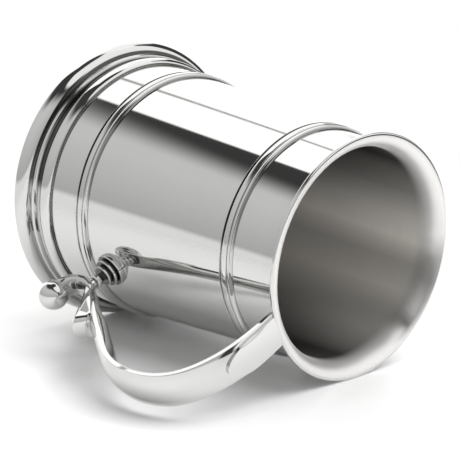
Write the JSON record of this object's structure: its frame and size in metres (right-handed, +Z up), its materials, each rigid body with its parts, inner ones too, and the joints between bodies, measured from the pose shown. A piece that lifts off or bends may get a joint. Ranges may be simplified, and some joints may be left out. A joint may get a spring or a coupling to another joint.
{
  "type": "tankard",
  "caption": "Lidless pewter tankard with a tapered barrel, a flared lip, a moulded foot, reeded bands and a looped scroll handle with a ball end.",
  "frame": {"origin": "centre of the whole tankard's box, on the ground under the foot; the barrel's axis is at x = -0.0177", "axes": "+Z up along the barrel towards the mouth, +X from the barrel towards the handle"},
  "size_m": [0.1386, 0.1032, 0.1239],
  "materials": {
    "polished_pewter": "polished",
    "satin_pewter": "satin"
  },
  "bodies": {
    "root": {"barrel": "polished_pewter", "base_plate": "satin_pewter", "foot_ring": "polished_pewter", "lower_band": "polished_pewter", "upper_band": "polished_pewter", "handle_loop": "polished_pewter", "thumb_leaf": "polished_pewter", "tail_scroll": "polished_pewter", "ball_finial": "polished_pewter", "strut": "polished_pewter"}
  },
  "joints": []
}
